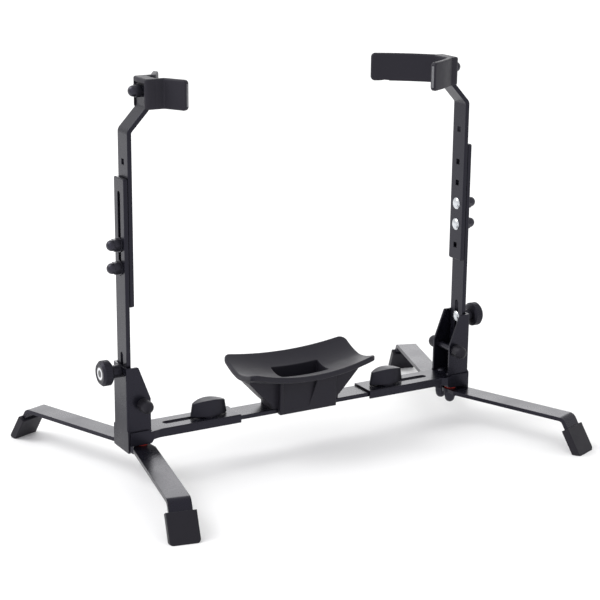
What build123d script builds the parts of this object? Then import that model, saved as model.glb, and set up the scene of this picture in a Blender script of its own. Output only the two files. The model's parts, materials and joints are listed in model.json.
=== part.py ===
from build123d import *
import math
import os

# Floor stand for a large saxophone: a telescoping rail on four folding legs, a cradle for
# the bow in the middle, and a height-adjustable post with a padded fork at each end.
# Origin on the floor under the middle of the rail, X along the rail, Z up, millimetres.
# Everything paired is drawn on the +X side and mirrored to the other end.

# overall layout
bracket_x = 224.0          # outer face of each end bracket
leg_pivot_x = 204.0
leg_pivot_y = 9.6
leg_angles = {"left_front": 258.5, "left_rear": 111.0, "right_front": 292.0, "right_rear": 72.0}

# sheet and bar sections
sheet = 2.5
rail_sheet = 2.0
bar_width = 25.0
bar_thick = 5.0
slide_gap = 0.3

# rails
rail_top_z = 55.3
rail_side = 9.3
rail_half_width = 17.5
rail_inner_end = 85.0
rail_bar_half_length = 135.5
rail_bar_half_width = 15.0
rail_bar_z = 48.0
rail_bolt_x = 117.5
rail_slot_from = 96.0
rail_slot_to = 174.0
rail_slot_width = 8.6
ear_out = 19.7
ear_z = (42.0, 57.2)

# end brackets
bracket_top_z = 130.0
bracket_bottom_z = 34.2
flange_depth_top = 14.0
flange_depth = 28.0
flange_knee_z = 93.0
flange_bottom_z = 41.6
web_half_width = 17.5
web_foot_half_width = 19.0
web_foot_z = 60.0
pin_x = 205.0
pin_z = 87.0

# posts
clamp_z = 123.5
post_hole_pitch = 25.0
upper_bolt_z = 263.0
lower_post_z = (74.0, 335.0)
post_slot_width = 6.8
post_upper_slot_z = (229.0, 321.0)
post_lower_slot_z = (82.0, 144.3)
upper_post_z = (195.5, 431.0)
upper_post_knee_z = (384.0, 407.0)
upper_post_shift = 21.5
square_hole = 6.4

# forks
fork_z = (406.0, 438.0)
fork_bolt_z = 424.5
core_z = (410.0, 434.0)
core_thick = 3.0
pad_thick = 6.5

# fasteners
bolt_r = 3.0
head_r = 6.8
head_h = 2.8
nut_flats = 12.6
nut_height = 14.0
rail_bolt_r = 4.0

# legs
leg_width = 25.0
leg_thick = 4.5
leg_top_z = 39.4
leg_end_r = 9.4
leg_knee = 161.2
foot_reach = 183.3

# positions that follow from the sections above
web_in = bracket_x - sheet
lower_post_x = web_in - slide_gap - bar_thick
upper_post_x = lower_post_x - slide_gap - bar_thick
upper_head_x = upper_post_x - upper_post_shift
fork_base_x = upper_head_x - core_thick / 2
rail_bar_top = rail_top_z - rail_sheet - slide_gap
pivots_y = (-leg_pivot_y, leg_pivot_y)
upper_bolts = (upper_bolt_z, upper_bolt_z - post_hole_pitch)
outward = (1, 0, 0)

os.makedirs("parts", exist_ok=True)


def save(solid, node):
    solid.label = node
    export_step(solid, f"parts/{node}.step")


def save_pair(solid, node):
    save(mirror(solid, about=Plane.YZ), f"{node}_left")
    save(solid, f"{node}_right")


# hardware blanks, each drawn standing on XY and placed on its seat afterwards
with BuildPart() as cap_nut:
    with BuildSketch(Plane.XY) as nut_hex:
        RegularPolygon(radius=nut_flats / 2, side_count=6, major_radius=False)
    extrude(amount=6.5)
    with BuildSketch(Plane.XZ) as nut_dome:
        with BuildLine() as dome_line:
            Polyline((0, 6.5), (6.0, 6.5), (6.0, nut_height - 6.0))
            CenterArc((0, nut_height - 6.0), 6.0, 0, 90)
            Line((0, nut_height), (0, 6.5))
        make_face()
    revolve(axis=Axis.Z)
    with BuildSketch(Plane.XY) as nut_bore:
        Circle(bolt_r)
    extrude(amount=9.5, mode=Mode.SUBTRACT)

with BuildPart() as plain_washer:
    with BuildSketch(Plane.XY) as washer_ring:
        Circle(8.0)
        Circle(bolt_r + 0.2, mode=Mode.SUBTRACT)
    extrude(amount=1.2)


def carriage_bolt(radius, head_radius, neck, length, head_height=head_h):
    # domed head below the seat, square neck and plain shank above it
    rise = head_height - 0.5
    dome_r = (head_radius**2 + rise**2) / (2 * rise)
    half_angle = math.degrees(math.asin(head_radius / dome_r))
    with BuildPart() as bolt:
        with BuildSketch(Plane.XZ) as head_half:
            with BuildLine() as head_line:
                Polyline((0, 0), (head_radius, 0), (head_radius, -0.5))
                CenterArc((0, dome_r - head_height), dome_r, -90, half_angle)
                Line((0, -head_height), (0, 0))
            make_face()
        revolve(axis=Axis.Z)
        with BuildSketch(Plane.XY) as neck_square:
            Rectangle(2 * radius + 0.1, 2 * radius + 0.1)
        extrude(amount=neck)
        with BuildSketch(Plane.XY) as shank_round:
            Circle(radius)
        extrude(amount=length)
        chamfer(bolt.faces().sort_by(Axis.Z)[-1].edges(), length=0.6)
    return bolt.part


# sliding rail bar
with BuildPart() as inner_rail:
    with BuildSketch(Plane.XY.offset(rail_bar_z)) as rail_bar_plan:
        RectangleRounded(2 * rail_bar_half_length, 2 * rail_bar_half_width, 3)
        with Locations((-rail_bolt_x, 0), (rail_bolt_x, 0)):
            Rectangle(8.2, 8.2, mode=Mode.SUBTRACT)
        with Locations((-20, 0), (20, 0)):
            Circle(2.6, mode=Mode.SUBTRACT)
    extrude(amount=rail_bar_top - rail_bar_z)
    long_edges = inner_rail.edges().filter_by(Axis.X)
    fillet(long_edges, radius=0.8)
save(inner_rail.part, "inner_rail")

# bow cradle: a dish curved both ways on a hollow pedestal that straddles the rail
dish_half_length = 81.0
dish_half_width = 38.0
dish_thick = 7.0
dish_rim_r = 2.0
dish_low_z = 88.0
well_floor_z = 57.0
skirt_half_length = 37.0
skirt_half_width = 21.0
skirt_z = 47.3


def dish_height(x, y):
    u = x / dish_half_length
    v = y / dish_half_width
    valley = 3.0 * (math.sqrt(v * v + 0.004) - math.sqrt(0.004))
    tilt = (5.25 - 3.25 * u * u) * v
    return dish_low_z + 10.0 * u * u + 9.6 * v * v + valley + tilt


skin_rows = []
for i in range(-12, 13):
    row_x = i * 90.0 / 12
    skin_rows.append([Vector(row_x, j * 46.0 / 24, dish_height(row_x, j * 46.0 / 24)) for j in range(-24, 25)])
dish_skin = Face.make_surface_from_array_of_points(skin_rows)
dish_under = Pos(0, 0, -dish_thick) * dish_skin

with BuildPart() as dish:
    with BuildSketch(Plane.XY) as dish_plan:
        RectangleRounded(2 * dish_half_length, 2 * dish_half_width, 9)
    extrude(amount=140)
    extrude(dish_skin, amount=120, dir=(0, 0, 1), mode=Mode.SUBTRACT)
    extrude(dish_under, amount=120, dir=(0, 0, -1), mode=Mode.SUBTRACT)
    dish_skins = dish.faces().sort_by(SortBy.AREA)[-2:]
    fillet(dish_skins[0].edges() + dish_skins[1].edges(), radius=dish_rim_r)

with BuildPart() as bow_cradle:
    with BuildSketch(Plane.XZ) as wing_side:
        with BuildLine() as wing_line:
            Polyline(
                (-43.0, rail_bar_top),
                (43.0, rail_bar_top),
                (43.0, 56.5),
                (50.0, 63.2),
                (72.0, 86.5),
                (72.0, 100.0),
                (-72.0, 100.0),
                (-72.0, 86.5),
                (-50.0, 63.2),
                (-43.0, 56.5),
                close=True,
            )
        make_face()
    extrude(amount=14, both=True)
    with BuildSketch(Plane.XY.offset(skirt_z)) as skirt_plan:
        RectangleRounded(2 * skirt_half_length, 2 * skirt_half_width, 1.5)
    extrude(amount=100 - skirt_z)
    with BuildSketch(Plane.XY.offset(skirt_z)) as rail_channel:
        Rectangle(4 * skirt_half_length, 2 * rail_bar_half_width + 0.4)
    extrude(amount=rail_bar_top - skirt_z, mode=Mode.SUBTRACT)
    extrude(dish_skin, amount=60, dir=(0, 0, 1), mode=Mode.SUBTRACT)
    # each long face is hollowed back between an upright rib and a leaning one
    for turn in (0, 180):
        low = Plane.XY.offset(52.0).rotated((0, 0, turn))
        high = Plane.XY.offset(86.0).rotated((0, 0, turn))
        with BuildSketch(low) as recess_low:
            with Locations((-16.5, -skirt_half_width - 2.9)):
                Rectangle(33, 6)
        with BuildSketch(high) as recess_high:
            with Locations((-10.0, -skirt_half_width - 0.5)):
                Rectangle(46, 10)
        loft(mode=Mode.SUBTRACT)
    add(dish.part)
    with BuildSketch(Plane.XY.offset(well_floor_z)) as well_plan:
        RectangleRounded(62, 28, 2)
    extrude(amount=60, mode=Mode.SUBTRACT)
    with BuildSketch(Plane.XY.offset(rail_bar_top)) as screw_holes:
        with Locations((-20, 0), (20, 0)):
            Circle(2.6)
    extrude(amount=10, mode=Mode.SUBTRACT)
save(bow_cradle.part, "bow_cradle")

with BuildPart() as cradle_screws:
    for screw_x in (-20, 20):
        with BuildSketch(Plane((screw_x, 0, 43.0))) as screw_shank:
            Circle(2.5)
        extrude(amount=well_floor_z - 43.0)
        with BuildSketch(Plane((screw_x, 0, well_floor_z))) as screw_head:
            Circle(4.6)
        extrude(amount=2.8)
        with BuildSketch(Plane((screw_x, 0, well_floor_z + 1.2))) as screw_drive:
            Rectangle(5.4, 1.1)
            Rectangle(1.1, 5.4)
        extrude(amount=2, mode=Mode.SUBTRACT)
save(cradle_screws.part, "cradle_screws")

with BuildPart() as cradle_nuts:
    for screw_x in (-20, 20):
        with BuildSketch(Plane((screw_x, 0, rail_bar_z - 4.0))) as screw_nut:
            RegularPolygon(radius=4.0, side_count=6, major_radius=False)
            Circle(2.5, mode=Mode.SUBTRACT)
        extrude(amount=4.0)
save(cradle_nuts.part, "cradle_nuts")

# rail clamp: carriage bolts up through the bar, washers on the outer rails, wing knobs
wing_seat_z = rail_top_z + 1.3
wing_top_z = 74.5
rail_bolt = carriage_bolt(rail_bolt_r, 8.0, rail_bar_top - rail_bar_z - 0.4, 22.0, 3.4)
with BuildPart() as rail_bolts:
    for bolt_x in (-rail_bolt_x, rail_bolt_x):
        add(Pos(bolt_x, 0, rail_bar_z) * rail_bolt)
save(rail_bolts.part, "rail_bolts")

with BuildPart() as rail_washers:
    with BuildSketch(Plane.XY.offset(rail_top_z)) as rail_washer_rings:
        with Locations((-rail_bolt_x, 0), (rail_bolt_x, 0)):
            Circle(10.5)
            Circle(rail_bolt_r + 0.2, mode=Mode.SUBTRACT)
    extrude(amount=1.3)
save(rail_washers.part, "rail_washers")

with BuildPart() as wing_knob:
    with BuildSketch(Plane.XY.offset(wing_seat_z)) as wing_collar:
        Circle(9.4)
    extrude(amount=3.0)
    with BuildSketch(Plane.XY.offset(wing_seat_z)) as wing_low:
        with BuildLine() as wing_low_line:
            ThreePointArc((-23.8, 0), (0, -10.0), (23.8, 0))
            ThreePointArc((23.8, 0), (0, 10.0), (-23.8, 0))
        make_face()
        fillet(wing_low.vertices(), radius=3)
    with BuildSketch(Plane.XY.offset(wing_top_z + 1)) as wing_high:
        with BuildLine() as wing_high_line:
            ThreePointArc((-21.5, 0), (0, -7.5), (21.5, 0))
            ThreePointArc((21.5, 0), (0, 7.5), (-21.5, 0))
        make_face()
        fillet(wing_high.vertices(), radius=3)
    loft()
    # crowned top, lower at the two ends
    with BuildSketch(Plane.XZ) as crown_cut:
        with BuildLine() as crown_line:
            ThreePointArc((-26, wing_top_z - 6.0), (0, wing_top_z), (26, wing_top_z - 6.0))
            Polyline((26, wing_top_z - 6.0), (26, wing_top_z + 8), (-26, wing_top_z + 8), (-26, wing_top_z - 6.0))
        make_face()
    extrude(amount=30, both=True, mode=Mode.SUBTRACT)
    crown_edges = wing_knob.faces().sort_by(Axis.Z)[-1].edges()
    fillet(crown_edges, radius=1.2)
    with BuildSketch(Plane.XY.offset(wing_seat_z)) as wing_bore:
        Circle(rail_bolt_r + 0.05)
    extrude(amount=14, mode=Mode.SUBTRACT)
save(Pos(rail_bolt_x, 0, 0) * wing_knob.part, "wing_knob_right")
save(Pos(-rail_bolt_x, 0, 0) * wing_knob.part, "wing_knob_left")

# outer rail: inverted channel whose sides step out past the bracket as ears
with BuildPart() as outer_rail:
    with BuildSketch(Plane.XY.offset(rail_top_z - rail_side)) as rail_outline:
        with BuildLine() as rail_line:
            Polyline(
                (rail_inner_end, -rail_half_width),
                (186.0, -rail_half_width),
                (193.5, -ear_out),
                (194.7, -ear_out),
                (194.7, ear_out),
                (193.5, ear_out),
                (186.0, rail_half_width),
                (rail_inner_end, rail_half_width),
                close=True,
            )
        make_face()
    extrude(amount=rail_side)
    top_folds = outer_rail.edges().filter_by(Axis.X).group_by(Axis.Z)[-1]
    fillet(top_folds, radius=1.6)
    with BuildSketch(Plane.XY.offset(rail_top_z - rail_side)) as rail_hollow:
        with BuildLine() as hollow_line:
            Polyline(
                (rail_inner_end - 1, -rail_half_width + rail_sheet),
                (186.4, -rail_half_width + rail_sheet),
                (193.9, -ear_out + rail_sheet),
                (196.0, -ear_out + rail_sheet),
                (196.0, ear_out - rail_sheet),
                (193.9, ear_out - rail_sheet),
                (186.4, rail_half_width - rail_sheet),
                (rail_inner_end - 1, rail_half_width - rail_sheet),
                close=True,
            )
        make_face()
    extrude(amount=rail_side - rail_sheet, mode=Mode.SUBTRACT)
    with BuildSketch(Plane.XY.offset(rail_top_z - rail_sheet)) as rail_tongue:
        with Locations((207.6, 0)):
            Rectangle(27.2, 29.6)
    extrude(amount=rail_sheet)
    for side in (-1, 1):
        ear_plane = Plane((0, side * ear_out, 0), x_dir=(1, 0, 0), z_dir=(0, -side, 0))
        with BuildSketch(ear_plane) as ear_shape:
            with BuildLine() as ear_line:
                Polyline(
                    (193.5, side * (rail_top_z - rail_side)),
                    (196.5, side * ear_z[0]),
                    (221.3, side * ear_z[0]),
                    (221.3, side * ear_z[1]),
                    (199.0, side * ear_z[1]),
                    (196.5, side * rail_top_z),
                    (193.5, side * rail_top_z),
                    close=True,
                )
            make_face()
        extrude(amount=rail_sheet)
    with BuildSketch(Plane.XY.offset(rail_top_z - rail_side)) as rail_slot:
        with Locations(((rail_slot_from + rail_slot_to) / 2, 0)):
            SlotOverall(rail_slot_to - rail_slot_from, rail_slot_width)
        with Locations((leg_pivot_x, -leg_pivot_y), (leg_pivot_x, leg_pivot_y)):
            Rectangle(square_hole, square_hole)
    extrude(amount=rail_side + 1, mode=Mode.SUBTRACT)
save_pair(outer_rail.part, "outer_rail")

# end bracket: one folded sheet with its web outward and a tab floor under the rail
with BuildPart() as bracket:
    with BuildSketch(Plane.XZ) as bracket_side:
        with BuildLine() as bracket_line:
            Polyline(
                (bracket_x, flange_bottom_z),
                (bracket_x, bracket_top_z),
                (bracket_x - flange_depth_top, bracket_top_z),
                (bracket_x - flange_depth, flange_knee_z),
                (bracket_x - flange_depth, flange_bottom_z),
                close=True,
            )
        make_face()
        top_corner = bracket_side.vertices().sort_by(Axis.Y)[-2:].sort_by(Axis.X)[0]
        fillet(top_corner, radius=2.5)
    extrude(amount=web_half_width, both=True)
    folds = bracket.edges().filter_by(Axis.Z).group_by(Axis.X)[-1]
    fillet(folds, radius=2.2)
    with BuildSketch(Plane.XY.offset(flange_bottom_z + sheet)) as bracket_hollow:
        with Locations((web_in - 30, 0)):
            Rectangle(60, 2 * (web_half_width - sheet))
    extrude(amount=100, mode=Mode.SUBTRACT)
    with BuildSketch(Plane.YZ.offset(web_in)) as web_foot:
        with BuildLine() as web_foot_line:
            Polyline(
                (-web_foot_half_width, bracket_bottom_z),
                (web_foot_half_width, bracket_bottom_z),
                (web_foot_half_width, web_foot_z - 2),
                (web_half_width - 1, web_foot_z),
                (-web_half_width + 1, web_foot_z),
                (-web_foot_half_width, web_foot_z - 2),
                close=True,
            )
        make_face()
    extrude(amount=sheet)
    with BuildSketch(Plane.YZ.offset(web_in - 1)) as clamp_hole:
        with Locations((0, clamp_z)):
            Circle(bolt_r + 0.2)
    extrude(amount=sheet + 2, mode=Mode.SUBTRACT)
    with BuildSketch(Plane.XZ) as pin_hole:
        with Locations((pin_x, pin_z)):
            Circle(bolt_r + 0.1)
    extrude(amount=web_half_width + 1, both=True, mode=Mode.SUBTRACT)
    with BuildSketch(Plane.XY.offset(flange_bottom_z)) as floor_holes:
        with Locations((leg_pivot_x, -leg_pivot_y), (leg_pivot_x, leg_pivot_y)):
            Circle(bolt_r + 0.1)
    extrude(amount=sheet, mode=Mode.SUBTRACT)
save_pair(bracket.part, "end_bracket")

# cross pin with its spacer tube and the two domed rubber bumpers
pin_end = 27.0
bumper_long = 17.0
bumper_r = 7.3
with BuildPart() as cross_pin:
    with BuildSketch(Plane.XZ) as pin_round:
        with Locations((pin_x, pin_z)):
            Circle(bolt_r)
    extrude(amount=pin_end, both=True)
    pin_rims = cross_pin.faces().filter_by(Axis.Y).edges()
    chamfer(pin_rims, length=0.6)
save_pair(cross_pin.part, "cross_pin")

with BuildPart() as pin_sleeve:
    with BuildSketch(Plane.XZ) as sleeve_ring:
        with Locations((pin_x, pin_z)):
            Circle(4.0)
            Circle(bolt_r + 0.05, mode=Mode.SUBTRACT)
    extrude(amount=web_half_width - sheet, both=True)
save_pair(pin_sleeve.part, "pin_sleeve")

with BuildPart() as bumper:
    with BuildSketch(Plane.XZ) as bumper_half:
        with BuildLine() as bumper_line:
            Polyline((0, 0), (bumper_r, 0), (bumper_r, bumper_long - bumper_r))
            CenterArc((0, bumper_long - bumper_r), bumper_r, 0, 90)
            Line((0, bumper_long), (0, 0))
        make_face()
    revolve(axis=Axis.Z)
    with BuildSketch(Plane.XY) as bumper_bore:
        Circle(bolt_r)
    extrude(amount=pin_end - web_half_width, mode=Mode.SUBTRACT)
bumper_seats = [
    Plane((pin_x, -web_half_width, pin_z), x_dir=(1, 0, 0), z_dir=(0, -1, 0)),
    Plane((pin_x, web_half_width, pin_z), x_dir=(1, 0, 0), z_dir=(0, 1, 0)),
]
with BuildPart() as pin_bumpers:
    for seat in bumper_seats:
        add(seat * bumper.part)
save_pair(pin_bumpers.part, "pin_bumpers")

# leg pivots: bolt heads on the rail, red washers over the legs, cap nuts under them
leg_bottom_z = leg_top_z - leg_thick
leg_bolt = carriage_bolt(bolt_r, 5.2, 1.0, rail_top_z - leg_bottom_z + 9.0)
with BuildPart() as leg_bolts:
    for pivot_y in pivots_y:
        bolt_seat = Plane((leg_pivot_x, pivot_y, rail_top_z), x_dir=(1, 0, 0), z_dir=(0, 0, -1))
        add(bolt_seat * leg_bolt)
save_pair(leg_bolts.part, "leg_bolts")

with BuildPart() as leg_washers:
    with BuildSketch(Plane.XY.offset(leg_top_z)) as leg_washer_rings:
        with Locations((leg_pivot_x, -leg_pivot_y), (leg_pivot_x, leg_pivot_y)):
            Circle(6.6)
            Circle(bolt_r + 0.1, mode=Mode.SUBTRACT)
    extrude(amount=flange_bottom_z - leg_top_z)
save_pair(leg_washers.part, "leg_washers")

with BuildPart() as leg_nuts:
    for pivot_y in pivots_y:
        nut_seat = Plane((leg_pivot_x, pivot_y, leg_bottom_z), x_dir=(1, 0, 0), z_dir=(0, 0, -1))
        add(nut_seat * cap_nut.part)
save_pair(leg_nuts.part, "leg_nuts")

# leg: flat bar from the pivot, turned down and out at the foot; drawn along +X
foot_drop = leg_top_z - leg_thick / 2
foot_lean = math.atan2(foot_reach - leg_knee, foot_drop)
foot_up = (-math.sin(foot_lean), 0, math.cos(foot_lean))
foot_out = (math.cos(foot_lean), 0, math.sin(foot_lean))
foot_tip = 3.0
with BuildPart() as leg:
    with BuildSketch(Plane.XZ) as leg_side:
        with BuildLine() as leg_line:
            FilletPolyline(
                (-leg_end_r, foot_drop),
                (leg_knee, foot_drop),
                (foot_reach + foot_tip * foot_up[0], foot_tip * foot_up[2]),
                radius=7.0,
            )
        trace(line_width=leg_thick)
    extrude(amount=leg_width / 2, both=True)
    with BuildSketch(Plane.XY) as leg_plan:
        Circle(leg_end_r)
        with BuildLine() as leg_plan_line:
            Polyline(
                (2.5, -9.0),
                (13.0, -leg_width / 2),
                (foot_reach + 10, -leg_width / 2),
                (foot_reach + 10, leg_width / 2),
                (13.0, leg_width / 2),
                (2.5, 9.0),
                close=True,
            )
        make_face()
    extrude(amount=60, mode=Mode.INTERSECT)
    with BuildSketch(Plane.XY) as leg_bore:
        Circle(bolt_r + 0.05)
    extrude(amount=60, mode=Mode.SUBTRACT)

foot_plane = Plane((foot_reach, 0, 0), x_dir=(0, 1, 0), z_dir=foot_out)
with BuildPart() as foot_cap:
    with BuildSketch(foot_plane) as cap_face:
        with Locations((0, 14.4)):
            Rectangle(32.5, 34.2)
        low_corners = cap_face.vertices().sort_by(Axis.Y)[:2]
        fillet(low_corners, radius=5)
    extrude(amount=4.6, both=True)
    cap_rims = foot_cap.faces().filter_by(Axis((0, 0, 0), foot_out)).edges()
    fillet(cap_rims, radius=1.0)
    with BuildSketch(Plane.XY.offset(-10)) as below_floor:
        with Locations((foot_reach, 0)):
            Rectangle(60, 60)
    extrude(amount=10, mode=Mode.SUBTRACT)
    add(leg.part, mode=Mode.SUBTRACT)

for end, angle in leg_angles.items():
    side = 1 if end.startswith("right") else -1
    row = 1 if end.endswith("rear") else -1
    place = Pos(side * leg_pivot_x, row * leg_pivot_y, 0) * Rot(0, 0, angle)
    save(place * leg.part, f"leg_{end}")
    save(place * foot_cap.part, f"foot_cap_{end}")

# lower post: slotted flat bar inside the bracket's web
with BuildPart() as lower_post:
    post_mid = (lower_post_z[0] + lower_post_z[1]) / 2
    with BuildSketch(Plane.YZ.offset(lower_post_x)) as lower_face:
        with Locations((0, post_mid)):
            RectangleRounded(bar_width, lower_post_z[1] - lower_post_z[0], 2.5)
        for slot_z in (post_upper_slot_z, post_lower_slot_z):
            with Locations((0, (slot_z[0] + slot_z[1]) / 2)):
                SlotOverall(slot_z[1] - slot_z[0], post_slot_width, rotation=90, mode=Mode.SUBTRACT)
    extrude(amount=bar_thick)
    bar_edges = lower_post.edges().filter_by(Axis.Z).filter_by(lambda e: e.length > 200)
    fillet(bar_edges, radius=1.0)
save_pair(lower_post.part, "lower_post")

# upper post: punched flat bar with a double bend that carries the fork inward
with BuildPart() as upper_post:
    upper_mid_x = upper_post_x + bar_thick / 2
    with BuildSketch(Plane.XZ) as upper_side:
        with BuildLine() as upper_line:
            FilletPolyline(
                (upper_mid_x, upper_post_z[0]),
                (upper_mid_x, upper_post_knee_z[0]),
                (upper_mid_x - upper_post_shift, upper_post_knee_z[1]),
                (upper_mid_x - upper_post_shift, upper_post_z[1]),
                radius=6.0,
            )
        trace(line_width=bar_thick)
    extrude(amount=bar_width / 2, both=True)
    hole_heights = [upper_bolt_z + n * post_hole_pitch for n in (-2, -1, 0, 1, 2)] + [351.5]
    with BuildSketch(Plane.YZ.offset(upper_post_x - 1)) as upper_holes:
        for hole_z in hole_heights:
            with Locations((0, hole_z)):
                Rectangle(square_hole, square_hole)
    extrude(amount=bar_thick + 2, mode=Mode.SUBTRACT)
    with BuildSketch(Plane.YZ.offset(upper_head_x - 1)) as head_hole:
        with Locations((0, fork_bolt_z)):
            Circle(bolt_r + 0.1)
    extrude(amount=bar_thick + 2, mode=Mode.SUBTRACT)
    foot_corners = upper_post.edges().filter_by(Axis.X).group_by(Axis.Z)[0]
    fillet(foot_corners, radius=2.5)
    post_long = upper_post.edges().filter_by(Axis.Z).filter_by(lambda e: e.length > 150)
    fillet(post_long, radius=1.0)
save_pair(upper_post.part, "upper_post")

# post bolts: heads on the inward face, washers and cap nuts on the outward face
post_bolt = carriage_bolt(bolt_r, head_r, bar_thick - 0.4, 2 * bar_thick + slide_gap + 10.0)
washer_x = web_in - slide_gap
with BuildPart() as post_bolts:
    for bolt_z in upper_bolts:
        add(Plane((upper_post_x, 0, bolt_z), x_dir=(0, 1, 0), z_dir=outward) * post_bolt)
save_pair(post_bolts.part, "post_bolts")

with BuildPart() as post_washers:
    for bolt_z in upper_bolts:
        add(Plane((washer_x, 0, bolt_z), x_dir=(0, 1, 0), z_dir=outward) * plain_washer.part)
save_pair(post_washers.part, "post_washers")

with BuildPart() as post_nuts:
    for bolt_z in upper_bolts:
        add(Plane((washer_x + 1.2, 0, bolt_z), x_dir=(0, 1, 0), z_dir=outward) * cap_nut.part)
save_pair(post_nuts.part, "post_nuts")

# height clamp: carriage bolt through slot and web, knurled knob with a plain face disc
knob_seat_x = bracket_x + 0.2
clamp_bolt = carriage_bolt(bolt_r, head_r, bar_thick - 0.4, knob_seat_x - lower_post_x + 17.0)
clamp_axis = Plane((lower_post_x, 0, clamp_z), x_dir=(0, 1, 0), z_dir=outward)
save_pair(clamp_axis * clamp_bolt, "clamp_bolt")

with BuildPart() as clamp_knob:
    with BuildSketch(Plane.XZ) as knob_half:
        with BuildLine() as knob_line:
            Polyline(
                (0, 0),
                (7.0, 0),
                (7.0, 10.0),
                (11.5, 11.2),
                (14.0, 13.2),
                (14.0, 20.8),
                (11.4, 23.4),
                (8.6, 23.4),
                (8.6, 22.4),
                (0, 22.4),
                close=True,
            )
        make_face()
    revolve(axis=Axis.Z)
    with BuildSketch(Plane.XY.offset(11.0)) as knob_grooves:
        with PolarLocations(14.5, 30):
            Circle(0.9)
    extrude(amount=14, mode=Mode.SUBTRACT)
    with BuildSketch(Plane.XY) as knob_bore:
        Circle(bolt_r + 0.05)
    extrude(amount=17.5, mode=Mode.SUBTRACT)
knob_seat = Plane((knob_seat_x, 0, clamp_z), x_dir=(0, 1, 0), z_dir=outward)
save_pair(knob_seat * clamp_knob.part, "clamp_knob")

with BuildPart() as knob_disc:
    with BuildSketch(Plane.XY.offset(22.4)) as disc_round:
        Circle(8.5)
    extrude(amount=0.8)
    chamfer(knob_disc.faces().sort_by(Axis.Z)[-1].edges(), length=0.3)
save_pair(knob_seat * knob_disc.part, "knob_disc")

# forks: a bent steel core moulded into a soft pad that hoods the top of the post
hood_out_x = upper_head_x + bar_thick + 1.6
hood_in_x = fork_base_x - core_thick / 2 - 4.9
hood_half_width = 17.0
head_pocket = 3.2
pad_rim_r = 2.0


def arm_path(start_y, turn, sweep_r, sweep):
    # a corner out of the base, then one long easy curve to the tip
    heading = 1 if start_y > 0 else -1
    corner = JernArc((fork_base_x, start_y), (0, heading), 6.0, heading * turn)
    reach = JernArc(corner @ 1, corner % 1, sweep_r, heading * sweep)
    return [corner, reach]


def fork_pad_part(lines, tips, tip_r):
    with BuildPart() as arms:
        with BuildSketch(Plane.XY.offset(fork_z[0])) as arms_plan:
            trace(lines, line_width=pad_thick)
        extrude(amount=fork_z[1] - fork_z[0])
        for tip in tips:
            tip_edges = arms.edges().filter_by(
                lambda e: abs(e.length - pad_thick) < 0.3
                and (Vector(tip[0], tip[1], e.center().Z) - e.center()).length < 1.5
            )
            fillet(tip_edges, radius=tip_r)
        arm_rims = arms.faces().sort_by(Axis.Z)[-1].edges() + arms.faces().sort_by(Axis.Z)[0].edges()
        fillet(arm_rims, radius=pad_rim_r)
    with BuildPart() as hood:
        with BuildSketch(Plane.XY.offset(fork_z[0])) as hood_plan:
            with Locations(((hood_in_x + hood_out_x) / 2, 0)):
                RectangleRounded(hood_out_x - hood_in_x, 2 * hood_half_width, 4.5)
        extrude(amount=fork_z[1] - fork_z[0])
        hood_rims = hood.faces().filter_by(Axis.Z).edges()
        fillet(hood_rims, radius=pad_rim_r)
    with BuildPart() as pad:
        add(arms.part)
        add(hood.part)
        with BuildSketch(Plane.XY.offset(core_z[0])) as core_pocket:
            trace(lines, line_width=core_thick)
        extrude(amount=core_z[1] - core_z[0], mode=Mode.SUBTRACT)
        with BuildSketch(Plane.XY.offset(fork_z[0])) as post_pocket:
            with Locations((upper_head_x + bar_thick / 2 - 0.02, 0)):
                Rectangle(bar_thick + 0.16, bar_width + 0.2)
        extrude(amount=upper_post_z[1] - fork_z[0] + 0.2, mode=Mode.SUBTRACT)
        with BuildSketch(Plane.XY.offset(fork_z[0])) as nut_window:
            with Locations((upper_head_x + bar_thick + 2, 0)):
                Rectangle(5, bar_width + 0.2)
        extrude(amount=27.0, mode=Mode.SUBTRACT)
        with BuildSketch(Plane.YZ.offset(fork_base_x - core_thick / 2 - head_pocket)) as head_room:
            with Locations((0, fork_bolt_z)):
                Circle(6.2)
        extrude(amount=head_pocket, mode=Mode.SUBTRACT)
    return pad.part


def fork_core_part(lines):
    with BuildPart() as core:
        with BuildSketch(Plane.XY.offset(core_z[0])) as core_plan:
            trace(lines, line_width=core_thick)
        extrude(amount=core_z[1] - core_z[0])
        with BuildSketch(Plane.YZ.offset(fork_base_x - core_thick)) as core_hole:
            with Locations((0, fork_bolt_z)):
                Rectangle(square_hole, square_hole)
        extrude(amount=2 * core_thick, mode=Mode.SUBTRACT)
    return core.part


# long fork on the right: a short front arm and a long rear one, both curving inward
base_line = Line((fork_base_x, -8.0), (fork_base_x, 8.0))
front_arm = arm_path(-8.0, 46, 160.0, 19)
rear_arm = arm_path(8.0, 42, 223.0, 20)
long_lines = front_arm + [base_line] + rear_arm
long_tips = [tuple(front_arm[1] @ 1)[:2], tuple(rear_arm[1] @ 1)[:2]]
long_pad = fork_pad_part(long_lines, long_tips, 5.0)
with BuildPart() as fork_pad_right:
    add(long_pad)
    notch_at = rear_arm[1] @ 0.82
    with BuildSketch(Plane.XY.offset(fork_z[0])) as notch_plan:
        with Locations(tuple(notch_at)[:2]):
            Rectangle(5.5, 16, rotation=50)
    extrude(amount=1.6, mode=Mode.SUBTRACT)
save(fork_pad_right.part, "fork_pad_right")
save(fork_core_part(long_lines), "fork_core_right")

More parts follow.
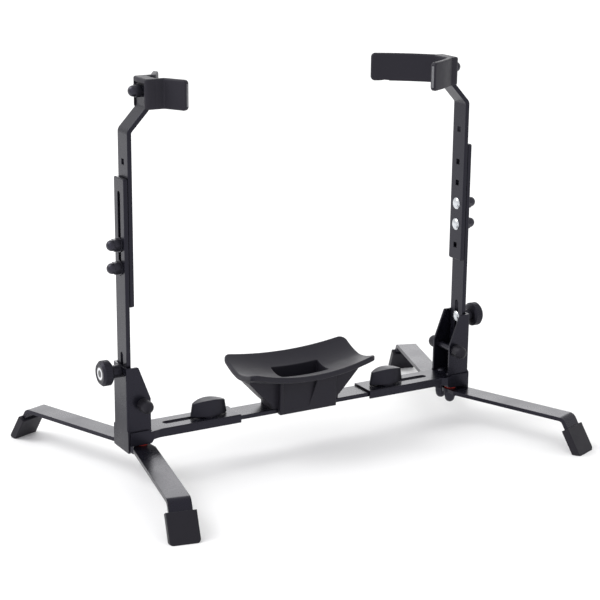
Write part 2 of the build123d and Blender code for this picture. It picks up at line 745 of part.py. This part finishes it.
# short fork on the left: two equal arms that flare open
short_tips = [(158.8, -38.3), (158.8, 38.3)]
with BuildLine() as short_line:
    FilletPolyline(
        short_tips[0],
        (173.4, -13.75),
        (fork_base_x, -13.75),
        (fork_base_x, 13.75),
        (173.4, 13.75),
        short_tips[1],
        radius=5.0,
    )
short_lines = short_line.edges()
save(mirror(fork_pad_part(short_lines, short_tips, 4.0), about=Plane.YZ), "fork_pad_left")
save(mirror(fork_core_part(short_lines), about=Plane.YZ), "fork_core_left")

fork_seat = Plane((fork_base_x - core_thick / 2, 0, fork_bolt_z), x_dir=(0, 1, 0), z_dir=outward)
fork_bolt = carriage_bolt(bolt_r, 6.0, 0.5, core_thick + bar_thick + 9.0)
save_pair(fork_seat * fork_bolt, "fork_bolt")
fork_nut_seat = Plane((upper_head_x + bar_thick, 0, fork_bolt_z), x_dir=(0, 1, 0), z_dir=outward)
save_pair(fork_nut_seat * cap_nut.part, "fork_cap_nut")
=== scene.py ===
import bpy
import json
import math
from mathutils import Matrix, Vector


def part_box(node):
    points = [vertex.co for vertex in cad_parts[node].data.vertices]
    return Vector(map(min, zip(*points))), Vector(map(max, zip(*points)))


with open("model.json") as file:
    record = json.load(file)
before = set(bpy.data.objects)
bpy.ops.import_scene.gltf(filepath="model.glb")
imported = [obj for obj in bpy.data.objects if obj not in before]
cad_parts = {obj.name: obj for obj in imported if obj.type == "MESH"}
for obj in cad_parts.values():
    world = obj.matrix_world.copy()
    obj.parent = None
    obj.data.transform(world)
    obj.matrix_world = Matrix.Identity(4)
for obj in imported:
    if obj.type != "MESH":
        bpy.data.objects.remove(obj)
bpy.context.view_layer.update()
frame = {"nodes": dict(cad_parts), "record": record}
nodes = frame["nodes"]
print("frame loaded:", len(nodes), "nodes")
bpy.ops.object.select_all(action="DESELECT")


def linear(hexColour):
    # sRGB hex to the linear values that the nodes work in
    values = []
    for i in (1, 3, 5):
        c = int(hexColour[i:i + 2], 16) / 255
        values.append(c / 12.92 if c <= 0.04045 else ((c + 0.055) / 1.055) ** 2.4)
    return (*values, 1.0)


def mmScale(size):
    # noise scale, in features a metre, for a grain of this many millimetres
    return 1000.0 / size


def addNode(tree, kind, settings=None, links=None):
    # a node with its settings, and for each input a value or the socket that feeds it
    node = tree.nodes.new(kind)
    for name, value in (settings or {}).items():
        setattr(node, name, value)
    for name, value in (links or {}).items():
        if isinstance(value, bpy.types.NodeSocket):
            tree.links.new(value, node.inputs[name])
        else:
            node.inputs[name].default_value = value
    return node


def newMaterial(name):
    material = bpy.data.materials.new(name)
    material.use_nodes = True
    material.node_tree.nodes.clear()
    return material, material.node_tree


def addMottle(tree, place, v):
    # soft patches that carry both the two tones and the spread of roughness of a finish;
    # a Mix node's colours are its inputs 6 and 7 and its output 2
    patch = addNode(tree, "ShaderNodeTexNoise", None,
                    {"Vector": place.outputs["Object"], "Scale": mmScale(v["patchMm"]),
                     "Detail": v["patchDetail"], "Roughness": v.get("patchRough", 0.5)})
    colour = addNode(tree, "ShaderNodeMix", {"data_type": "RGBA"},
                     {0: patch.outputs["Fac"], 6: linear(v["dark"]), 7: linear(v["light"])})
    rough = addNode(tree, "ShaderNodeMapRange", None,
                    {"Value": patch.outputs["Fac"], "From Min": 0.3, "From Max": 0.7,
                     "To Min": v["rough"][0], "To Max": v["rough"][1]})
    return colour.outputs[2], rough.outputs["Result"]


# steel, sprayed with black polyester powder and baked: an even near-black coat with a faint
# orange peel, soft broad reflections, and edges that the coat rounds so that they catch the light
powderCoat = {
    "dark": "#0b0b10", "light": "#121219", "patchMm": 38.0, "patchDetail": 3.0,
    "rough": (0.18, 0.27), "grit": 0.12,
    "peelMm": 1.5, "peelDetail": 2.0, "peelHeight": 0.00011, "peelStrength": 0.35,
    "edgeRadius": 0.0007, "ior": 1.5, "specular": 0.32, "tint": "#e9e6ff",
}


def makePowderCoat(v):
    material, tree = newMaterial("powderCoatBlackSemiGloss")
    place = addNode(tree, "ShaderNodeTexCoord")
    colour, rough = addMottle(tree, place, v)
    peel = addNode(tree, "ShaderNodeTexNoise", None,
                   {"Vector": place.outputs["Object"], "Scale": mmScale(v["peelMm"]),
                    "Detail": v["peelDetail"]})
    # the powder's grit, under 0.1 mm in life, is drawn as coarse as the peel so that it shows
    grit = addNode(tree, "ShaderNodeMath", {"operation": "MULTIPLY_ADD"},
                   {0: peel.outputs["Fac"], 1: v["grit"], 2: rough})
    edge = addNode(tree, "ShaderNodeBevel", {"samples": 4}, {"Radius": v["edgeRadius"]})
    bump = addNode(tree, "ShaderNodeBump", None,
                   {"Height": peel.outputs["Fac"], "Normal": edge.outputs["Normal"],
                    "Strength": v["peelStrength"], "Distance": v["peelHeight"]})
    shader = addNode(tree, "ShaderNodeBsdfPrincipled", None,
                     {"Base Color": colour, "Roughness": grit.outputs["Value"],
                      "Normal": bump.outputs["Normal"], "IOR": v["ior"],
                      "Specular IOR Level": v["specular"], "Specular Tint": linear(v["tint"])})
    addNode(tree, "ShaderNodeOutputMaterial", None, {"Surface": shader.outputs["BSDF"]})
    return material


# EPDM-like rubber, compression moulded in a fine-blasted tool: charcoal, dull, with a soft
# velvety rim where it turns away, and faint lighter bloom in patches
cradleRubber = {
    "name": "mouldedRubberCharcoal", "dark": "#131219", "light": "#1c1b23",
    "patchMm": 30.0, "patchDetail": 5.0, "patchRough": 0.6, "rough": (0.44, 0.58),
    "grainMm": 0.9, "grainDetail": 3.0, "grainHeight": 0.00005, "grainStrength": 0.4,
    "edgeRadius": 0.0016, "ior": 1.5, "specular": 0.3, "tint": "#f3f0fa",
    "sheen": 0.03, "sheenRough": 0.5,
}
# the grip rubber is softer, a shade lighter and duller, so that it doesn't mark lacquer
forkRubber = {
    **cradleRubber, "name": "softGripRubberCharcoal", "dark": "#17161d", "light": "#222128",
    "patchMm": 22.0, "rough": (0.50, 0.64), "grainMm": 0.7, "grainHeight": 0.00006,
}
bumperRubber = {
    **cradleRubber, "name": "mouldedRubberMattBlack", "dark": "#0f0e14", "light": "#17161d",
    "patchMm": 14.0, "rough": (0.46, 0.60), "grainMm": 0.8, "edgeRadius": 0.0014,
}


def makeRubber(v):
    material, tree = newMaterial(v["name"])
    place = addNode(tree, "ShaderNodeTexCoord")
    colour, rough = addMottle(tree, place, v)
    grain = addNode(tree, "ShaderNodeTexNoise", None,
                    {"Vector": place.outputs["Object"], "Scale": mmScale(v["grainMm"]),
                     "Detail": v["grainDetail"]})
    edge = addNode(tree, "ShaderNodeBevel", {"samples": 4}, {"Radius": v["edgeRadius"]})
    bump = addNode(tree, "ShaderNodeBump", None,
                   {"Height": grain.outputs["Fac"], "Normal": edge.outputs["Normal"],
                    "Strength": v["grainStrength"], "Distance": v["grainHeight"]})
    shader = addNode(tree, "ShaderNodeBsdfPrincipled", None,
                     {"Base Color": colour, "Roughness": rough,
                      "Normal": bump.outputs["Normal"], "IOR": v["ior"],
                      "Specular IOR Level": v["specular"], "Specular Tint": linear(v["tint"]),
                      "Sheen Weight": v["sheen"], "Sheen Roughness": v["sheenRough"]})
    addNode(tree, "ShaderNodeOutputMaterial", None, {"Surface": shader.outputs["BSDF"]})
    return material


# glass-filled nylon, injection moulded in a spark-eroded tool: black, an even pebbled skin
# that breaks the light into fine points
knobPlastic = {
    "dark": "#0b0b0f", "light": "#131318", "patchMm": 12.0, "patchDetail": 4.0,
    "rough": (0.38, 0.52), "pebbleMm": 0.8, "pebbleHeight": 0.00008, "pebbleStrength": 0.4,
    "edgeRadius": 0.0006, "ior": 1.53, "specular": 0.32, "tint": "#e9e6ff",
}


def makeKnobPlastic(v):
    material, tree = newMaterial("mouldedNylonBlack")
    place = addNode(tree, "ShaderNodeTexCoord")
    colour, rough = addMottle(tree, place, v)
    pebble = addNode(tree, "ShaderNodeTexVoronoi", None,
                     {"Vector": place.outputs["Object"], "Scale": mmScale(v["pebbleMm"])})
    edge = addNode(tree, "ShaderNodeBevel", {"samples": 4}, {"Radius": v["edgeRadius"]})
    bump = addNode(tree, "ShaderNodeBump", None,
                   {"Height": pebble.outputs["Distance"], "Normal": edge.outputs["Normal"],
                    "Strength": v["pebbleStrength"], "Distance": v["pebbleHeight"]})
    shader = addNode(tree, "ShaderNodeBsdfPrincipled", None,
                     {"Base Color": colour, "Roughness": rough,
                      "Normal": bump.outputs["Normal"], "IOR": v["ior"],
                      "Specular IOR Level": v["specular"], "Specular Tint": linear(v["tint"])})
    addNode(tree, "ShaderNodeOutputMaterial", None, {"Surface": shader.outputs["BSDF"]})
    return material


# steel with a bright zinc plate: cool pale metal with a slight blue cast, cloudy reflections
# and fine turned marks
zincPlate = {
    "name": "zincPlatedSteelBright", "dark": "#b9bdc2", "light": "#dcdfe2",
    "patchMm": 4.0, "patchDetail": 5.0, "rough": (0.20, 0.34),
    "scratchMm": 0.6, "scratchDetail": 1.0, "scratchHeight": 0.00003, "scratchStrength": 0.3,
}
# mild steel as rolled, inside the fork pads: darker, greyer and rougher
rolledSteel = {
    **zincPlate, "name": "mildSteelRolled", "dark": "#6d6d70", "light": "#8d8d90",
    "patchMm": 7.0, "rough": (0.38, 0.52), "scratchMm": 0.9, "scratchHeight": 0.00004,
}


def makeBareMetal(v):
    material, tree = newMaterial(v["name"])
    place = addNode(tree, "ShaderNodeTexCoord")
    colour, rough = addMottle(tree, place, v)
    scratch = addNode(tree, "ShaderNodeTexNoise", None,
                      {"Vector": place.outputs["Object"], "Scale": mmScale(v["scratchMm"]),
                       "Detail": v["scratchDetail"]})
    bump = addNode(tree, "ShaderNodeBump", None,
                   {"Height": scratch.outputs["Fac"], "Strength": v["scratchStrength"],
                    "Distance": v["scratchHeight"]})
    shader = addNode(tree, "ShaderNodeBsdfPrincipled", None,
                     {"Base Color": colour, "Roughness": rough,
                      "Normal": bump.outputs["Normal"], "Metallic": 1.0})
    addNode(tree, "ShaderNodeOutputMaterial", None, {"Surface": shader.outputs["BSDF"]})
    return material


# steel nuts and washers, phosphated black and oiled: near black, with a patchy gloss
blackOxide = {
    "dark": "#0b0b0e", "light": "#151519", "patchMm": 3.0, "patchDetail": 6.0,
    "rough": (0.30, 0.46), "pitMm": 0.7, "pitDetail": 2.0, "pitHeight": 0.00004,
    "pitStrength": 0.3, "edgeRadius": 0.0004, "ior": 1.6, "specular": 0.4, "tint": "#e9e6ff",
}


def makeBlackOxide(v):
    material, tree = newMaterial("blackOxideSteel")
    place = addNode(tree, "ShaderNodeTexCoord")
    colour, rough = addMottle(tree, place, v)
    pits = addNode(tree, "ShaderNodeTexNoise", None,
                   {"Vector": place.outputs["Object"], "Scale": mmScale(v["pitMm"]),
                    "Detail": v["pitDetail"]})
    edge = addNode(tree, "ShaderNodeBevel", {"samples": 4}, {"Radius": v["edgeRadius"]})
    bump = addNode(tree, "ShaderNodeBump", None,
                   {"Height": pits.outputs["Fac"], "Normal": edge.outputs["Normal"],
                    "Strength": v["pitStrength"], "Distance": v["pitHeight"]})
    shader = addNode(tree, "ShaderNodeBsdfPrincipled", None,
                     {"Base Color": colour, "Roughness": rough,
                      "Normal": bump.outputs["Normal"], "IOR": v["ior"],
                      "Specular IOR Level": v["specular"], "Specular Tint": linear(v["tint"])})
    addNode(tree, "ShaderNodeOutputMaterial", None, {"Surface": shader.outputs["BSDF"]})
    return material


# polycarbonate face disc, screen printed: a black ground with one plain silver ring, satin, and
# a little uneven where the ink is thin
faceDisc = {
    "ground": "#101014", "silver": "#d9dadd", "ringMm": (4.1, 6.7), "inkMm": 1.2, "inkDetail": 3.0,
    "cover": (0.8, 1.0), "rough": 0.3, "ior": 1.58,
}


def makeFaceDisc(v):
    material, tree = newMaterial("polycarbonateFaceDisc")
    place = addNode(tree, "ShaderNodeTexCoord")
    low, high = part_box("knob_disc_left")
    middle = (low + high) / 2
    # both discs share this middle but for X, which the ring's distance leaves out
    centred = addNode(tree, "ShaderNodeMapping", None,
                      {"Vector": place.outputs["Object"], "Location": (0, -middle.y, -middle.z),
                       "Scale": (0, 1, 1)})
    reach = addNode(tree, "ShaderNodeVectorMath", {"operation": "LENGTH"},
                    {0: centred.outputs["Vector"]})
    inner = addNode(tree, "ShaderNodeMath", {"operation": "GREATER_THAN"},
                    {0: reach.outputs["Value"], 1: v["ringMm"][0] / 1000})
    outer = addNode(tree, "ShaderNodeMath", {"operation": "LESS_THAN"},
                    {0: reach.outputs["Value"], 1: v["ringMm"][1] / 1000})
    ring = addNode(tree, "ShaderNodeMath", {"operation": "MULTIPLY"},
                   {0: inner.outputs["Value"], 1: outer.outputs["Value"]})
    ink = addNode(tree, "ShaderNodeTexNoise", None,
                  {"Vector": place.outputs["Object"], "Scale": mmScale(v["inkMm"]),
                   "Detail": v["inkDetail"]})
    thin = addNode(tree, "ShaderNodeMapRange", None,
                   {"Value": ink.outputs["Fac"], "To Min": v["cover"][0], "To Max": v["cover"][1]})
    cover = addNode(tree, "ShaderNodeMath", {"operation": "MULTIPLY"},
                    {0: ring.outputs["Value"], 1: thin.outputs["Result"]})
    colour = addNode(tree, "ShaderNodeMix", {"data_type": "RGBA"},
                     {0: cover.outputs["Value"], 6: linear(v["ground"]), 7: linear(v["silver"])})
    shader = addNode(tree, "ShaderNodeBsdfPrincipled", None,
                     {"Base Color": colour.outputs[2], "Roughness": v["rough"], "IOR": v["ior"]})
    addNode(tree, "ShaderNodeOutputMaterial", None, {"Surface": shader.outputs["BSDF"]})
    return material


# nylon, injection moulded and dyed red: slightly translucent, waxy, a little uneven in tint
redNylon = {
    "dark": "#8e1712", "light": "#b52a20", "patchMm": 5.0, "patchDetail": 4.0,
    "rough": (0.35, 0.5), "grainMm": 0.8, "grainDetail": 2.0, "grainHeight": 0.00004,
    "grainStrength": 0.25, "ior": 1.52, "scatter": 0.1, "scatterReach": 0.001,
}


def makeRedNylon(v):
    material, tree = newMaterial("mouldedNylonRed")
    place = addNode(tree, "ShaderNodeTexCoord")
    colour, rough = addMottle(tree, place, v)
    grain = addNode(tree, "ShaderNodeTexNoise", None,
                    {"Vector": place.outputs["Object"], "Scale": mmScale(v["grainMm"]),
                     "Detail": v["grainDetail"]})
    bump = addNode(tree, "ShaderNodeBump", None,
                   {"Height": grain.outputs["Fac"], "Strength": v["grainStrength"],
                    "Distance": v["grainHeight"]})
    shader = addNode(tree, "ShaderNodeBsdfPrincipled", None,
                     {"Base Color": colour, "Roughness": rough,
                      "Normal": bump.outputs["Normal"], "IOR": v["ior"],
                      "Subsurface Weight": v["scatter"], "Subsurface Scale": v["scatterReach"]})
    addNode(tree, "ShaderNodeOutputMaterial", None, {"Surface": shader.outputs["BSDF"]})
    return material


finishes = {
    "powder_coat": makePowderCoat(powderCoat),
    "moulded_rubber": makeRubber(cradleRubber),
    "fork_rubber": makeRubber(forkRubber),
    "bumper_rubber": makeRubber(bumperRubber),
    "moulded_plastic": makeKnobPlastic(knobPlastic),
    "zinc": makeBareMetal(zincPlate),
    "bare_steel": makeBareMetal(rolledSteel),
    "black_hardware": makeBlackOxide(blackOxide),
    "red_plastic": makeRedNylon(redNylon),
    "pale_disc": makeFaceDisc(faceDisc),
}
slotOf = {part["node"]: part["material_slot"] for part in frame["record"]["subparts"]}
for name, node in nodes.items():
    finish = finishes[slotOf[name]]
    if not node.material_slots:
        node.data.materials.append(finish)
    for slot in node.material_slots:
        slot.material = finish
print("finishes given to every node")

# studio: a pale floor, a broad key high at the rear left, a weak cool fill from the front left,
# and a large lamp far behind that lays a soft gloss on the level faces
studio = {
    "floorColour": "#f7f7f7", "floorHalf": 14.0, "fibreMm": 2.5, "floorRough": (0.8, 0.95),
    "floorSpecular": 0.1, "worldColour": "#ffffff", "worldStrength": 0.95, "aimHeight": 0.2,
    "keyPlace": (-1.6, 1.2, 2.2), "keySize": 1.6, "keyPower": 38.0, "keyTint": "#ffffff",
    "fillPlace": (-2.4, -1.4, 1.5), "fillSize": 1.6, "fillPower": 9.0, "fillTint": "#ece8ff",
    "rearPlace": (3.1, 5.4, 2.2), "rearSize": 4.0, "rearPower": 100.0, "rearTint": "#ffffff",
}


def makeStudio(v):
    bpy.ops.mesh.primitive_plane_add(size=2 * v["floorHalf"], location=(0, 0, 0))
    floor = bpy.context.object
    floor.name = "studioFloor"
    # matt paper with a faint fibre, which keeps the shadow soft and gives no reflection
    material, tree = newMaterial("studioPaper")
    place = addNode(tree, "ShaderNodeTexCoord")
    fibre = addNode(tree, "ShaderNodeTexNoise", None,
                    {"Vector": place.outputs["Object"], "Scale": mmScale(v["fibreMm"]),
                     "Detail": 2.0})
    rough = addNode(tree, "ShaderNodeMapRange", None,
                    {"Value": fibre.outputs["Fac"],
                     "To Min": v["floorRough"][0], "To Max": v["floorRough"][1]})
    shader = addNode(tree, "ShaderNodeBsdfPrincipled", None,
                     {"Base Color": linear(v["floorColour"]), "Roughness": rough.outputs["Result"],
                      "Specular IOR Level": v["floorSpecular"]})
    addNode(tree, "ShaderNodeOutputMaterial", None, {"Surface": shader.outputs["BSDF"]})
    floor.data.materials.append(material)
    world = bpy.data.worlds.new("studioWorld")
    world.use_nodes = True
    background = world.node_tree.nodes["Background"]
    background.inputs["Color"].default_value = linear(v["worldColour"])
    background.inputs["Strength"].default_value = v["worldStrength"]
    bpy.context.scene.world = world
    for name in ("key", "fill", "rear"):
        lamp = bpy.data.lights.new(name + "Light", "AREA")
        lamp.shape = "SQUARE"
        lamp.size = v[name + "Size"]
        lamp.energy = v[name + "Power"]
        lamp.color = linear(v[name + "Tint"])[:3]
        light = bpy.data.objects.new(name + "Light", lamp)
        bpy.context.scene.collection.objects.link(light)
        light.location = v[name + "Place"]
        aim = Vector((0, 0, v["aimHeight"])) - light.location
        light.rotation_euler = aim.to_track_quat("-Z", "Y").to_euler()


makeStudio(studio)
print("studio set")

# camera: a long lens, a little above the stand and off to its left; angles in degrees
view = {
    "place": (-0.9289, -1.6038, 0.6976), "turn": 30.06, "tilt": -15.81, "roll": 0.56,
    "lens": 102.09, "sensor": 36.0,
}
eye = bpy.data.cameras.new("productCamera")
eye.lens = view["lens"]
eye.sensor_width = view["sensor"]
camera = bpy.data.objects.new("productCamera", eye)
bpy.context.scene.collection.objects.link(camera)
camera.matrix_world = (
    Matrix.Translation(view["place"])
    @ Matrix.Rotation(math.radians(-view["turn"]), 4, "Z")
    @ Matrix.Rotation(math.radians(90 + view["tilt"]), 4, "X")
    @ Matrix.Rotation(math.radians(view["roll"]), 4, "Z")
)
bpy.context.scene.camera = camera
bpy.context.scene.view_settings.view_transform = "Standard"
print("camera set")
